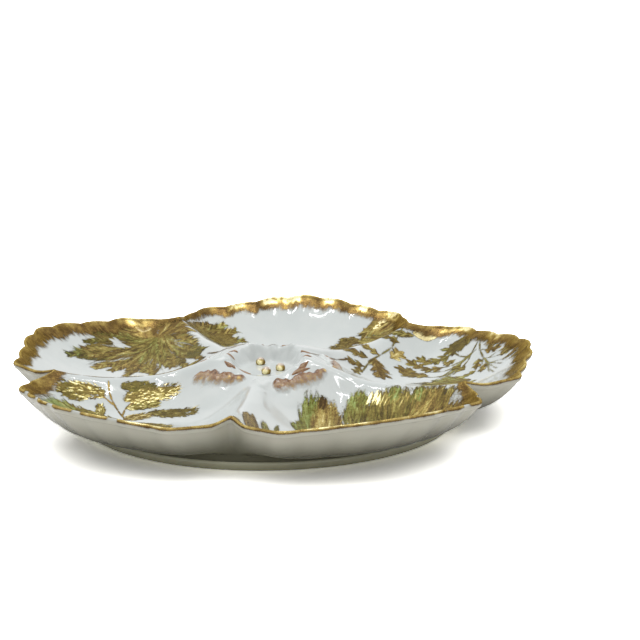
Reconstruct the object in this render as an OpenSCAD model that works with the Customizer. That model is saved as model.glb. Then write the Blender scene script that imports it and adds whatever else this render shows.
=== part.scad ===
// An oyster plate of white glazed porcelain, in millimetres and degrees.
// Five shell-shaped wells stand around a raised middle, on a low foot ring.
// Gilding covers the scalloped edges. Coral and leaf sprigs and three gilt pearls sit on the middle.
// The foot stands on z = 0, the plate's axis is Z, and the first shell's middle lies on +Y.

/* [Outline] */
// Distance from the centre to the rim at a shell's middle
rim_r = 101.4; // [96:0.2:108]
// Distance from the centre to the rim at a shell's shoulders
shoulder_r = 96; // [90:0.2:100]
// Distance from the centre to the bottom of the notch between two shells
notch_r = 81.8; // [76:0.5:84]
// How much the outline widens ten degrees away from a notch
notch_flare = 16.5; // [10:0.5:18]
// Length over which a notch's sides round into the shoulders
shoulder_blend = 2; // [1:0.1:3]
// Number of scallops on a shell's edge
scallop_count = 9; // [7:2:11]
// How deep the scallops cut into the outline
scallop_depth = 1.6; // [0.2:0.1:2]
// How far a scallop's flute sinks or lifts the rim
flute_depth = 0.9; // [0:0.1:1.4]
// Distance from the rim over which the flutes fade out
flute_length = 7; // [4:0.5:12]

/* [Heights] */
// Height of the rim at a shell's middle
rim_h = 25.3; // [22:0.1:27]
// Height of the rim at a shell's shoulders
shoulder_h = 22.2; // [20:0.1:23]
// Height of the rim at a notch
notch_h = 21.3; // [19:0.1:22]
// Height of the ridges between the wells at their lowest
saddle_h = 18.3; // [16:0.1:19]
// Height of the raised middle
mound_h = 24.9; // [23:0.1:26]
// How much lower the raised middle is towards -Y, where its hollow opens
mound_dip = 5.2; // [4:0.1:5.5]
// Height of the wells' floors
floor_h = 6.2; // [5.8:0.1:7]

/* [Wells] */
// Distance from the rim at which a well's wall reaches the floor
wall_run = 44; // [38:1:50]
// Distance from a ridge at which its flank reaches the floor
ridge_run = 30; // [24:1:34]
// Radius that rounds the top of a ridge
ridge_top = 2.5; // [1.5:0.1:4]
// Distance from the centre at which the middle starts to slope down
mound_r = 8; // [6:0.5:10]
// Distance from the centre at which the middle's slope reaches the floor
mound_foot_r = 52; // [44:1:56]
// Depth over which the rim's wall and a ridge blend
ridge_blend = 5; // [3:0.5:7]
// Depth over which the middle blends into the walls
mound_blend = 4; // [2:0.5:6]

/* [Pearl hollow] */
// Height of the flat that the pearls sit on
hollow_h = 19.3; // [18.5:0.1:20]
// Radius of that flat
hollow_r = 9.8; // [9.7:0.05:9.9]
// Length over which the hollow's side rises
hollow_run = 5.5; // [4:0.5:7]
// How far the hollow lies off the axis towards -Y
hollow_shift = 2.2; // [1:0.1:2.4]

/* [Body] */
// Thickness of the porcelain under the wells
body_t = 3.2; // [2.8:0.1:3.3]
// Thickness of the rolled lip
lip_t = 3; // [2.4:0.1:3.2]

/* [Foot] */
// Height of the foot ring
foot_h = 3.6; // [3:0.1:3.8]
// Outer radius of the foot ring where it is luted to the body
foot_seat_r = 71; // [70:0.1:71]
// How far the foot ring's outer side leans in towards where it stands
foot_lean = 1.5; // [1:0.1:2.5]
// How far the drum above the foot stands out beyond the foot ring
drum_step = 0.5; // [0.2:0.1:1]
// Height of the drum, from the foot ring to the shells' undersides
drum_rise = 2.6; // [2.2:0.1:2.8]
// Width of the foot ring where it is luted to the body
foot_w = 5; // [4:0.1:5.2]
// Size of the bevels on the foot's standing edge
foot_bevel = 0.8; // [0.3:0.1:1]
// Gap between the foot ring and the hollow under the body
recess_step = 0.8; // [0.5:0.1:1.2]

/* [Gilding and sprigs] */
// Thickness of the gilding
gilt_t = 0.14; // [0.1:0.01:0.2]
// Radius of a pearl
pearl_r = 1.75; // [1.4:0.05:1.9]
// Height of a pearl's centre above its seat
pearl_lift = 0.9; // [0.6:0.1:1.2]
// Thickness of a coral sprig at its edge
coral_edge = 0.3; // [0.2:0.05:0.4]
// How far a coral sprig's knobs rise above its edge
coral_rise = 1.1; // [0.6:0.1:1.5]
// Thickness of a leaf sprig at its edge
leaf_edge = 0.25; // [0.2:0.05:0.3]
// How far a leaf sprig's midrib rises above its edge
leaf_rise = 0.45; // [0.3:0.05:0.6]

/* [Hidden] */

// Angles of the layout
shell_count = 5;
half_shell = 180 / shell_count;
first_shell = 90;
scallop_angle = 2 * half_shell / scallop_count;
scallop_steps = 3;
shell_steps = scallop_count * scallop_steps;
ring_steps = shell_count * shell_steps;
shoulder_angle = 20;
shoulder_fade = 25;
notch_round_angle = 1.4;
notch_rise_angle = 10;
dip_angle = 55;
flare_angle = 10;

// Lengths that follow from the driving dimensions
mean_r = (rim_r + notch_r) / 2;
drum_r = foot_seat_r + drum_step;
drum_h = foot_h + drum_rise;
foot_r = foot_seat_r - foot_lean;
foot_inner_r = foot_seat_r - foot_w;
recess_r = foot_inner_r - recess_step;
pearl_spots = [
    [-0.34 * hollow_r, 0.64 * hollow_r - hollow_shift],
    [0.55 * hollow_r, -0.16 * hollow_r - hollow_shift],
    [0.1 * hollow_r, -0.74 * hollow_r - hollow_shift]
];

// Where the rings of the surface lie, as shares of the hollow's flat, of the way from the flat to the rim,
// of the lip, of the underside and of the recess
hollow_shares = [0.46, 0.98];
well_shares = [
    0.033, 0.066, 0.1, 0.127, 0.154, 0.181, 0.208, 0.248, 0.304, 0.383,
    0.473, 0.562, 0.652, 0.731, 0.798, 0.86, 0.91, 0.95
];
lip_shares = [[0.5, 0], [0.2, 0.05], [0, 0.35], [0.1, 0.75], [0.4, 1]];
under_shares = [0.14, 0.3, 0.46, 0.62, 0.78, 1];
recess_shares = [1, 0.88, 0.75, 0.62, 0.5, 0.39, 0.29, 0.19, 0.09];
top_rings = len(hollow_shares) + len(well_shares);
gilt_rings = [top_rings - 1 : top_rings + len(lip_shares) - 1];
coral_rings = [5 : 8];
coral_steps = [5 : shell_steps - 5];
leaf_rings = [3 : 4];
leaf_steps = [[8 : 11], [15 : 19]];

// Ease from 0 to 1 with level ends
function ease(t) = let(u = min(max(t, 0), 1)) u * u * (3 - 2 * u);
// The larger of two heights, with the corner between them filled
function join(a, b, k) = max(a, b) + pow(max(k - abs(a - b), 0) / k, 2) * k / 4;
// The smaller of two lengths, with the corner between them rounded
function shave(a, b, k) = min(a, b) - k * ln(1 + exp(-abs(a - b) / k));

// Angle from the middle of the nearest shell, for a direction from the centre
function swing(a) = let(t = (a - first_shell + half_shell + 720) % (2 * half_shell)) t - half_shell;
// Angle at one step around a shell's edge
function step_swing(i) = -half_shell + 2 * half_shell * i / shell_steps;

// Plain outline of the five shells, before the scallops
function shell_r(s) =
    let(
        around = 180 * min(abs(s), shoulder_angle) / shoulder_angle,
        lobe = (rim_r + shoulder_r) / 2 + (rim_r - shoulder_r) / 2 * cos(around),
        off = half_shell - abs(s),
        away = sqrt(off * off + notch_round_angle * notch_round_angle) - notch_round_angle,
        notch = notch_r + notch_flare * away / flare_angle
    )
    shave(lobe, notch, shoulder_blend);

// 1 at the middle of a scallop and 0 between two scallops
function scallop(s) = let(c = cos(180 * s / scallop_angle)) sqrt(c * c + 0.01) - 0.1;
function outline_r(s) = shell_r(s) - scallop_depth * (1 - scallop(s));

// Height of the rim before the flutes
function rim_z(s) =
    let(
        lobe = shoulder_h + (rim_h - shoulder_h) * (1 - ease(abs(s) / shoulder_fade)),
        near_notch = ease((abs(s) - half_shell + notch_rise_angle) / notch_rise_angle)
    )
    lobe + (notch_h - shoulder_h) * near_notch;

// Height of the raised middle in one direction: it dips towards -Y
function middle_z(a) = mound_h - mound_dip * (1 - ease(abs(a - 270) / dip_angle));

// Height of a ridge's top at a distance from the centre
function ridge_z(r, a) =
    let(
        inner = 1 - ease((r - 1.5 * mound_r) / (4 * mound_r)),
        outer = ease((r - 0.68 * notch_r) / (0.33 * notch_r))
    )
    saddle_h + (middle_z(a) - saddle_h) * inner + (notch_h - saddle_h) * outer;

// Height of the upper surface over a point
function top_z(x, y) =
    let(
        r = norm([x, y]),
        a = (atan2(y, x) + 360) % 360,
        s = swing(a),
        edge = max(shell_r(s) - r, 0),
        rim = (rim_z(s) - floor_h) * pow(max(1 - edge / wall_run, 0), 2.1),
        off = r * sin(half_shell - abs(s)),
        flank = sqrt(off * off + ridge_top * ridge_top) - ridge_top,
        ridge = (ridge_z(r, a) - floor_h) * pow(max(1 - flank / ridge_run, 0), 2),
        middle = (middle_z(a) - floor_h) * (1 - ease((r - mound_r) / (mound_foot_r - mound_r))),
        open = floor_h + join(join(rim, ridge, ridge_blend), middle, mound_blend),
        from_hollow = norm([x, y + hollow_shift]),
        outside = ease((from_hollow - hollow_r) / hollow_run),
        flute = flute_depth * (scallop(s) - 0.6) * exp(-pow(edge / flute_length, 2))
    )
    hollow_h + (open - hollow_h) * outside - flute;

// Points of the surface's rings: upper side, lip, underside, foot seat and recess
function at(r, a, z) = [r * cos(a), r * sin(a), z];
function top_point(r, a) =
    let(
        shift = hollow_shift * (1 - ease((r - hollow_r) / (2.6 * hollow_r))),
        x = r * cos(a),
        y = r * sin(a) - shift
    )
    [x, y, top_z(x, y)];
function well_r(share, s) =
    hollow_r + (mean_r - hollow_r) * share + (outline_r(s) - mean_r) * pow(share, 3);
function edge_z(s, a) = let(r = outline_r(s)) top_z(r * cos(a), r * sin(a));
function lip_point(share, s, a) =
    let(
        r = outline_r(s) - share[0] * lip_t,
        inner = share[1] == 0 ? top_z(r * cos(a), r * sin(a)) : edge_z(s, a) - share[1] * lip_t
    )
    at(r, a, inner);
function under_point(share, s, a) =
    let(
        from_r = outline_r(s) - lip_shares[len(lip_shares) - 1][0] * lip_t,
        from_z = edge_z(s, a) - lip_t,
        bulge = 1 - pow(1 - share, 2.5),
        valley = 0.55 * share + 0.45 * (1 - pow(1 - share, 2)),
        w = ease((abs(s) / half_shell - 0.5) / 0.5),
        z = from_z + (drum_h - from_z) * (bulge + (valley - bulge) * w)
    )
    at(from_r + (drum_r - from_r) * share, a, z);
function recess_point(share, a) =
    let(r = share * recess_r, x = r * cos(a), y = r * sin(a))
    [x, y, top_z(x, y) - body_t];

function rings_at(s, a) = concat(
    [for (t = hollow_shares) top_point(t * hollow_r, a)],
    [for (t = well_shares) top_point(well_r(t, s), a)],
    [for (t = lip_shares) lip_point(t, s, a)],
    [for (t = under_shares) under_point(t, s, a)],
    [at(foot_seat_r, a, foot_h), at(foot_inner_r, a, foot_h)],
    [for (t = recess_shares) recess_point(t, a)]
);

// One column of points at step i of shell k
function column(k, i) =
    let(s = step_swing(i))
    rings_at(s, first_shell + 2 * half_shell * k + s);

// Grid of points over some rings and some steps of shell k, each lifted by the vector for its place
function grid(k, rings, steps) = [
    for (i = steps)
        let(c = column(k, i))
        [for (j = rings) c[j]]
];

// Two triangles for each cell of a grid whose columns have n points
function cells(columns, n, from, turn) = [
    for (i = [0 : columns - 2])
        for (j = [0 : n - 2])
            let(p = from + i * n + j, q = p + n)
            each (turn ? [[p, q, p + 1], [q, q + 1, p + 1]] : [[p, p + 1, q], [q, p + 1, q + 1]])
];

function flat(list) = [for (part = list) each part];

// A skin that lies face to face on a grid of the body's points, with straight sides
module skin(lower, upper) {
    m = len(lower);
    n = len(lower[0]);
    all_low = m * n;
    first_side = [for (j = [0 : n - 2]) each [[j, j + 1, all_low + j], [j + 1, all_low + j + 1, all_low + j]]];
    last = (m - 1) * n;
    last_side = [
        for (j = [0 : n - 2])
            let(p = last + j, q = all_low + last + j)
            each [[p, q, p + 1], [p + 1, q, q + 1]]
    ];
    inner_side = [
        for (i = [0 : m - 2])
            let(p = i * n, q = all_low + i * n)
            each [[p, q, p + n], [p + n, q, q + n]]
    ];
    outer_side = [
        for (i = [0 : m - 2])
            let(p = i * n + n - 1, q = all_low + i * n + n - 1)
            each [[p, p + n, q], [p + n, q + n, q]]
    ];
    polyhedron(
        points = concat(flat(lower), flat(upper)),
        faces = concat(
            cells(m, n, 0, true),
            cells(m, n, all_low, false),
            first_side,
            last_side,
            inner_side,
            outer_side
        )
    );
}

// The white casting with its wells, ridges, raised middle and hollow underside
module plate_body() {
    columns = [for (k = [0 : shell_count - 1]) for (i = [0 : shell_steps - 1]) column(k, i)];
    n = len(columns[0]);
    top_centre = [0, -hollow_shift, hollow_h];
    under_centre = [0, 0, hollow_h - body_t];
    a = ring_steps * n;
    b = a + 1;
    walls = [
        for (i = [0 : ring_steps - 1])
            let(next = (i + 1) % ring_steps)
            for (j = [0 : n - 2])
                let(p = i * n + j, q = next * n + j)
                each [[p, p + 1, q], [q, p + 1, q + 1]]
    ];
    caps = [
        for (i = [0 : ring_steps - 1])
            let(next = (i + 1) % ring_steps)
            each [[a, i * n, next * n], [b, next * n + n - 1, i * n + n - 1]]
    ];
    color("whitesmoke")
        polyhedron(points = concat(flat(columns), [top_centre, under_centre]), faces = concat(walls, caps));
}

// The turned foot ring, luted under the body
module foot_ring() {
    color("gainsboro")
        rotate_extrude($fn = 180)
            polygon([
                [foot_seat_r, foot_h],
                [foot_r, foot_bevel],
                [foot_r - foot_bevel, 0],
                [foot_inner_r + foot_bevel, 0],
                [foot_inner_r, foot_bevel],
                [foot_inner_r, foot_h]
            ]);
}

// The burnished gold band over one shell's lip
module gilt_edge(k) {
    steps = [0 : shell_steps];
    lower = grid(k, gilt_rings, steps);
    last = len(lower[0]) - 1;
    upper = [
        for (i = steps)
            let(a = first_shell + 2 * half_shell * k + step_swing(i))
            [
                for (j = [0 : last])
                    let(tilt = j < 2 ? 90 : 90 * (last - j) / (last - 1))
                    lower[i][j] + gilt_t * [cos(a) * cos(tilt), sin(a) * cos(tilt), sin(tilt)]
            ]
    ];
    color("goldenrod") skin(lower, upper);
}

// Knobbly coral, moulded apart and luted to the middle's flank at a well's inner end
module coral_sprig(k) {
    lower = grid(k, coral_rings, coral_steps);
    m = len(lower);
    n = len(lower[0]);
    upper = [
        for (i = [0 : m - 1])
            [
                for (j = [0 : n - 1])
                    let(
                        inside = i > 0 && i < m - 1 && j > 0 && j < n - 1,
                        knob = 0.65 + 0.35 * cos(140 * i + 90 * j),
                        lift = coral_edge + (inside ? coral_rise * knob : 0)
                    )
                    lower[i][j] + [0, 0, lift]
            ]
    ];
    color("rosybrown") skin(lower, upper);
}

// A pair of small leaves on the middle, above a coral sprig
module leaf_sprig(k) {
    color("olivedrab")
        for (steps = leaf_steps) {
            lower = grid(k, leaf_rings, steps);
            m = len(lower);
            upper = [
                for (i = [0 : m - 1])
                    [for (p = lower[i]) p + [0, 0, leaf_edge + leaf_rise * sin(180 * i / (m - 1))]]
            ];
            skin(lower, upper);
        }
}

// A gilt pearl with a flat ground on its underside
module pearl(k) {
    spot = pearl_spots[k - 1];
    color("gold")
        translate([spot[0], spot[1], hollow_h])
            difference() {
                translate([0, 0, pearl_lift]) sphere(r = pearl_r, $fn = 48);
                translate([-pearl_r, -pearl_r, -2 * pearl_r]) cube(2 * pearl_r);
            }
}

plate_body();
foot_ring();
gilt_edge(0);  // gilt_edge_1
gilt_edge(1);  // gilt_edge_2
gilt_edge(2);  // gilt_edge_3
gilt_edge(3);  // gilt_edge_4
gilt_edge(4);  // gilt_edge_5
coral_sprig(0);  // coral_sprig_1
coral_sprig(1);  // coral_sprig_2
coral_sprig(2);  // coral_sprig_3
coral_sprig(3);  // coral_sprig_4
coral_sprig(4);  // coral_sprig_5
leaf_sprig(0);  // leaf_sprig_1
leaf_sprig(1);  // leaf_sprig_2
leaf_sprig(2);  // leaf_sprig_3
leaf_sprig(3);  // leaf_sprig_4
leaf_sprig(4);  // leaf_sprig_5
pearl(1);  // pearl_1
pearl(2);  // pearl_2
pearl(3);  // pearl_3
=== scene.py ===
# An oyster plate of white glazed porcelain: five shell wells round a raised middle, gilded and painted.
import math

import bmesh
import bpy
import numpy as np
from mathutils import Matrix


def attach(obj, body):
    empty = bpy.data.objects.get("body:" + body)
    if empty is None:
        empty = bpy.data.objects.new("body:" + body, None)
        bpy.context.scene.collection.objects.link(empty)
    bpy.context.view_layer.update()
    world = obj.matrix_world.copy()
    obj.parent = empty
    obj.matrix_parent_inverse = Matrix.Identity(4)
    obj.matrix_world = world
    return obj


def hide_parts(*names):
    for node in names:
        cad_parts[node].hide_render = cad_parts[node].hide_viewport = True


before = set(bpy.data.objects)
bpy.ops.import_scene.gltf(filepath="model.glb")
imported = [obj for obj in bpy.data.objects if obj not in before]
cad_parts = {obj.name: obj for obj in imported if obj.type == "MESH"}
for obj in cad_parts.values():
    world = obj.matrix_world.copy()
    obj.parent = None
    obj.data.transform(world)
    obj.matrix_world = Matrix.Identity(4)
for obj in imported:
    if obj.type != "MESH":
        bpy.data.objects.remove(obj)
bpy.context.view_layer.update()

# The body is one press-moulded casting of white porcelain, glazed all over. Five shell-shaped wells
# stand round a raised middle with a small hollow, and the lip is rolled and scalloped.
# Sizes in metres, angles in degrees from the middle of the nearest shell.
rim_r, shoulder_r, notch_r = 0.1014, 0.096, 0.0818
notch_flare, notch_round, shoulder_blend = 0.0165, 1.4, 0.002
scallop_count, scallop_depth, corner_trim = 9, 0.0016, 0.0003
flute_depth, flute_length = 0.0009, 0.007
rim_h, shoulder_h, notch_h = 0.0253, 0.0222, 0.0213
lobe_round, lobe_reach, notch_reach = 20, 25, 10
saddle_h, mound_h, mound_dip, floor_h = 0.0183, 0.0249, 0.0052, 0.0062
wall_run, wall_curve, ridge_run, ridge_top = 0.044, 2.1, 0.030, 0.0025
dip_middle, dip_reach = 270, 55
mound_r, mound_foot_r, ridge_blend, mound_blend = 0.008, 0.052, 0.005, 0.004
hollow_h, hollow_r, hollow_run, hollow_shift = 0.0193, 0.0098, 0.0055, 0.0022
body_t, lip_t, under_curve = 0.0032, 0.003, 2.5
foot_seat_r, foot_h, foot_w, drum_step, drum_rise = 0.071, 0.0036, 0.005, 0.0005, 0.0026
shell_count, half_shell, first_shell = 5, 36, 90
scallop_angle = 2 * half_shell / scallop_count
mean_r = (rim_r + notch_r) / 2
drum_r, drum_h = foot_seat_r + drum_step, foot_h + drum_rise
recess_step, seat_edge = 0.0008, 0.0004
recess_r = foot_seat_r - foot_w - recess_step
mm = 0.001


def ease(t):
    """From 0 to 1 with level ends."""
    t = np.clip(t, 0, 1)
    return t * t * (3 - 2 * t)


def join(a, b, k):
    """The larger of two heights, with the corner between them filled."""
    return np.maximum(a, b) + (np.clip(k - np.abs(a - b), 0, None) / k) ** 2 * k / 4


def swing(angle):
    """Angle from the middle of the nearest shell."""
    return (angle - first_shell + half_shell) % (2 * half_shell) - half_shell


def scallop(s):
    """1 at the middle of a scallop and 0 between two."""
    return np.sqrt(np.cos(np.radians(180 * s / scallop_angle)) ** 2 + 0.01) - 0.1


def shell_r(s):
    """Plain outline of the five shells."""
    s = np.abs(s)
    swell = np.cos(np.radians(180 / lobe_round * np.minimum(s, lobe_round)))
    lobe = (rim_r + shoulder_r) / 2 + (rim_r - shoulder_r) / 2 * swell
    off = half_shell - s
    notch = notch_r + notch_flare * (np.sqrt(off * off + notch_round**2) - notch_round) / 10
    rounding = np.log(1 + np.exp(-np.abs(lobe - notch) / shoulder_blend))
    return np.minimum(lobe, notch) - shoulder_blend * rounding


def outline_r(s):
    return shell_r(s) - scallop_depth * (1 - scallop(s)) - corner_trim


def rim_z(s):
    s = np.abs(s)
    lobe = shoulder_h + (rim_h - shoulder_h) * (1 - ease(s / lobe_reach))
    return lobe + (notch_h - shoulder_h) * ease((s - half_shell + notch_reach) / notch_reach)


def middle_z(angle):
    return mound_h - mound_dip * (1 - ease(np.abs(angle - dip_middle) / dip_reach))


def ridge_z(r, angle):
    inner = 1 - ease((r - 1.5 * mound_r) / (4 * mound_r))
    outer = ease((r - 0.68 * notch_r) / (0.33 * notch_r))
    return saddle_h + (middle_z(angle) - saddle_h) * inner + (notch_h - saddle_h) * outer


def top_z(x, y):
    """Height of the upper surface."""
    r = np.hypot(x, y)
    angle = np.degrees(np.arctan2(y, x)) % 360
    s = swing(angle)
    edge = np.maximum(shell_r(s) - r, 0)
    rim = (rim_z(s) - floor_h) * np.maximum(1 - edge / wall_run, 0) ** wall_curve
    off = r * np.sin(np.radians(half_shell - np.abs(s)))
    flank = np.sqrt(off * off + ridge_top**2) - ridge_top
    ridge = (ridge_z(r, angle) - floor_h) * np.maximum(1 - flank / ridge_run, 0) ** 2
    middle = (middle_z(angle) - floor_h) * (1 - ease((r - mound_r) / (mound_foot_r - mound_r)))
    well = floor_h + join(join(rim, ridge, ridge_blend), middle, mound_blend)
    outside = ease((np.hypot(x, y + hollow_shift) - hollow_r) / hollow_run)
    flute = flute_depth * (scallop(s) - 0.6) * np.exp(-((edge / flute_length) ** 2))
    return hollow_h + (well - hollow_h) * outside - flute


def top_point(share, angle):
    """Point of the upper surface at a share of the way from the hollow's centre to the edge."""
    edge_r = outline_r(swing(angle))
    r = share * (mean_r + (edge_r - mean_r) * share**2)
    shift = hollow_shift * (1 - ease((r - hollow_r) / (2.6 * hollow_r)))
    x, y = r * np.cos(np.radians(angle)), r * np.sin(np.radians(angle)) - shift
    return x, y, top_z(x, y)


lip_profile = [(0.5, 0), (0.2, 0.05), (0, 0.35), (0.1, 0.75), (0.4, 1)]


def lip_point(turn, angle):
    """Point round the lip: turn goes from 0 inside it to 1 under it."""
    edge_r = outline_r(swing(angle))
    cos, sin = np.cos(np.radians(angle)), np.sin(np.radians(angle))
    crest = top_z(edge_r * cos, edge_r * sin)
    inside = [edge_r - lip_t, edge_r - 0.5 * lip_t]
    ring = [(r, top_z(r * cos, r * sin)) for r in inside]
    ring += [(edge_r - a * lip_t, crest - b * lip_t) for a, b in lip_profile[1:]]
    ring.append(under_ring(0.1, angle))
    radii, heights = (np.array([p[i] + 0 * angle for p in ring]) for i in (0, 1))
    at = 1 + turn * (len(ring) - 3)
    low = np.clip(np.floor(at).astype(int), 1, len(ring) - 3)
    u = at - low
    curve = []
    for line in (radii, heights):
        a, b, c, d = (np.take_along_axis(line, (low + i)[None], 0)[0] for i in (-1, 0, 1, 2))
        curve.append(b + 0.5 * u * (c - a + u * (2 * a - 5 * b + 4 * c - d + u * (3 * (b - c) + d - a))))
    return curve[0] * cos, curve[0] * sin, curve[1]


def under_ring(share, angle):
    """Radius and height of the underside at a share of the way from the lip to the drum."""
    s = swing(angle)
    edge_r = outline_r(s)
    cos, sin = np.cos(np.radians(angle)), np.sin(np.radians(angle))
    from_r, from_z = edge_r - 0.4 * lip_t, top_z(edge_r * cos, edge_r * sin) - lip_t
    bulge = 1 - (1 - share) ** under_curve
    valley = 0.55 * share + 0.45 * (1 - (1 - share) ** 2)
    fall = bulge + (valley - bulge) * ease((np.abs(s) / half_shell - 0.5) / 0.5)
    return from_r + (drum_r - from_r) * share, from_z + (drum_h - from_z) * fall


# moulded lines in millimetres: start, end, half width, height and bend
vein_lines = [
    ((-2, -19), (2, -28), 1.3, 0.55, 0.05), ((4.5, -18), (2.5, -28), 1.2, 0.5, -0.06),
    ((2.2, -26), (6, -47), 1.6, 0.5, -0.04), ((-10, -1), (-13.5, -4), 0.5, 0.3, 0.1),
    ((-9.5, -3.5), (-16, -9), 0.5, 0.35, 0.12), ((10, -4), (17, -6), 0.5, 0.35, -0.1),
    ((8.5, -8), (14.5, -13.5), 0.5, 0.3, 0.1), ((-7.5, -9), (-12, -15.5), 0.5, 0.3, -0.1),
    ((-9.5, 9), (-23, 26), 1.2, 0.45, 0.03), ((10, 9), (22, 26), 1.2, 0.45, -0.03),
    ((-13, 1), (-30, 4), 1.0, 0.35, 0.05), ((13, 2), (30, 3), 1.0, 0.35, -0.05),
]
# moulded knobs in millimetres: centre, radius and height
knobs = [((-16.8, -26.7), 4.6, 0.45), ((12.5, -27), 4.4, 0.4)]
crumple = np.random.default_rng(7)
for ring, count in ((11.8, 10), (14.6, 9), (17.2, 7)):
    for a in np.linspace(18, 162, count):
        r, turn = ring + crumple.uniform(-0.9, 0.9), math.radians(a + crumple.uniform(-7, 7))
        size = crumple.uniform(0.9, 1.9)
        at = (r * math.cos(turn), r * math.sin(turn) - hollow_shift / mm)
        knobs.append((at, size, size * crumple.uniform(0.22, 0.42)))


def veins(x, y):
    """Height of the moulded lines and knobs round the middle."""
    height = np.zeros_like(x)
    near = np.hypot(x, y) < mound_foot_r
    u, v = x[near] / mm, y[near] / mm
    lift = np.zeros_like(u)
    for (x0, y0), (x1, y1), width, rise, bend in vein_lines:
        length = math.hypot(x1 - x0, y1 - y0)
        along = ((u - x0) * (x1 - x0) + (v - y0) * (y1 - y0)) / length**2
        off = ((v - y0) * (x1 - x0) - (u - x0) * (y1 - y0)) / length
        off -= 4 * bend * length * along * (1 - along)
        ends = ease(along / 0.25) * ease((1 - along) / 0.25)
        lift += rise * ends * np.exp(-((off / width) ** 2))
    for (x0, y0), radius, rise in knobs:
        lift = np.maximum(lift, rise * ease(1.25 * (1 - np.hypot(u - x0, v - y0) / (1.35 * radius))))
    height[near] = lift * mm
    return height


def body_point(ring, angle):
    """Point of the body's skin: rings 0 to 1 lie on top, 1 to 2 round the lip, 2 to 3 underneath,
    3 to 4 down the drum and over the foot's seat, and 4 to 5 inside the hollow underneath."""
    cos, sin = np.cos(np.radians(angle)), np.sin(np.radians(angle))
    edge_share = 1 - 0.5 * lip_t / mean_r
    part = [np.clip(ring - i, 0, 1) for i in range(5)]
    x, y, z = top_point(part[0] * edge_share, angle)
    z = z + veins(x, y)
    lx, ly, lz = lip_point(part[1], angle)
    under_r, under_h = under_ring(part[2], angle)
    seat_shares = [0, 0.4, 0.5, 1]
    seat_r = np.interp(part[3], seat_shares, [drum_r, foot_seat_r, foot_seat_r - seat_edge, recess_r])
    seat_h = np.interp(part[3], seat_shares, [drum_h, foot_h, foot_h, foot_h])
    hollow_at = recess_r * (1 - part[4])
    ceiling = top_z(hollow_at * cos, hollow_at * sin) - body_t
    chosen = np.clip(np.ceil(ring - 1e-6).astype(int) - 1, 0, 4)
    return (
        np.choose(chosen, [x, lx, under_r * cos, seat_r * cos, hollow_at * cos]),
        np.choose(chosen, [y, ly, under_r * sin, seat_r * sin, hollow_at * sin]),
        np.choose(chosen, [z, lz, under_h, seat_h, ceiling]),
    )


def mesh_points(mesh):
    points = np.empty(3 * len(mesh.vertices))
    mesh.vertices.foreach_get("co", points)
    return points.reshape(-1, 3).T


def turn_form(form, steps):
    """Turns a line full circle round the middle."""
    bmesh.ops.spin(
        form, geom=form.verts[:] + form.edges[:], axis=(0, 0, 1), cent=(0, 0, 0),
        angle=math.tau, steps=steps, use_merge=True,
    )


def close_form(form):
    """Joins points that meet and turns the faces outwards."""
    bmesh.ops.remove_doubles(form, verts=form.verts, dist=1e-6)
    bmesh.ops.recalc_face_normals(form, faces=form.faces)


def form_mesh(form, name):
    mesh = bpy.data.meshes.new(name)
    form.to_mesh(mesh)
    form.free()
    return mesh


def set_layer(mesh, name, values):
    """Gives every point of a mesh its own value, for the materials to read."""
    mesh.attributes.new(name, "FLOAT", "POINT").data.foreach_set("value", values.astype(np.float32))


def move_points(mesh, place):
    """Moves every point of a mesh to where place puts it."""
    mesh.vertices.foreach_set("co", np.column_stack(place(*mesh_points(mesh))).ravel())
    mesh.update()


def add_object(name, data):
    made = bpy.data.objects.new(name, data)
    bpy.context.scene.collection.objects.link(made)
    return made


def add_piece(name, mesh, material, slot, *nodes):
    """Shows a finished mesh as a piece of the plate, in place of some solids."""
    mesh.polygons.foreach_set("use_smooth", [True] * len(mesh.polygons))
    mesh.materials.append(material)
    piece = add_object(name, mesh)
    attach(piece, "root")
    if nodes:
        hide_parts(*nodes)


# rings on top, round the lip, underneath, over the seat and in the hollow
body_rings = [124, 12, 20, 8, 16]
body_columns = 45 * 10


def body_mesh():
    ring_total = sum(body_rings)
    form = bmesh.new()
    ends = [form.verts.new((1, 0, height)) for height in (0, ring_total)]
    line = form.edges.new(ends)
    bmesh.ops.subdivide_edges(form, edges=[line], cuts=ring_total - 1)
    turn_form(form, body_columns)
    mesh = form_mesh(form, "plate_body_glazed")
    marks = np.concatenate([[0], np.cumsum(body_rings)])
    ring = np.interp(mesh_points(mesh)[2], marks, range(len(marks)))
    set_layer(mesh, "underside", ease((ring - 1.2) / 0.4))

    def place(x, y, _):
        # the middle's fine relief gets closer rings than the wells' floors
        top = np.clip(ring, 0, 1)
        spread = np.where(ring < 1, 0.45 * top + 0.55 * top**2, ring)
        return body_point(spread, np.degrees(np.arctan2(y, x)) % 360)

    move_points(mesh, place)
    form = bmesh.new()
    form.from_mesh(mesh)
    close_form(form)
    form.to_mesh(mesh)
    form.free()
    return mesh


def node_maker(tree):
    """A function that adds a node to a tree, with its inputs and settings."""

    def node(kind, inputs=(), **settings):
        made = tree.nodes.new(kind)
        for key, value in settings.items():
            setattr(made, key, value)
        for key, value in dict(inputs).items():
            if isinstance(value, bpy.types.NodeSocket):
                tree.links.new(value, made.inputs[key])
            else:
                made.inputs[key].default_value = value
        return made

    return node


def new_material(name):
    """A material with one principled shader, and functions that add a node and wire one to the shader."""
    material = bpy.data.materials.new(name)
    material.use_nodes = True
    tree = material.node_tree
    shader = tree.nodes["Principled BSDF"]

    def wire(source, name):
        tree.links.new(source, shader.inputs[name])

    return material, shader, node_maker(tree), wire


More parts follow.
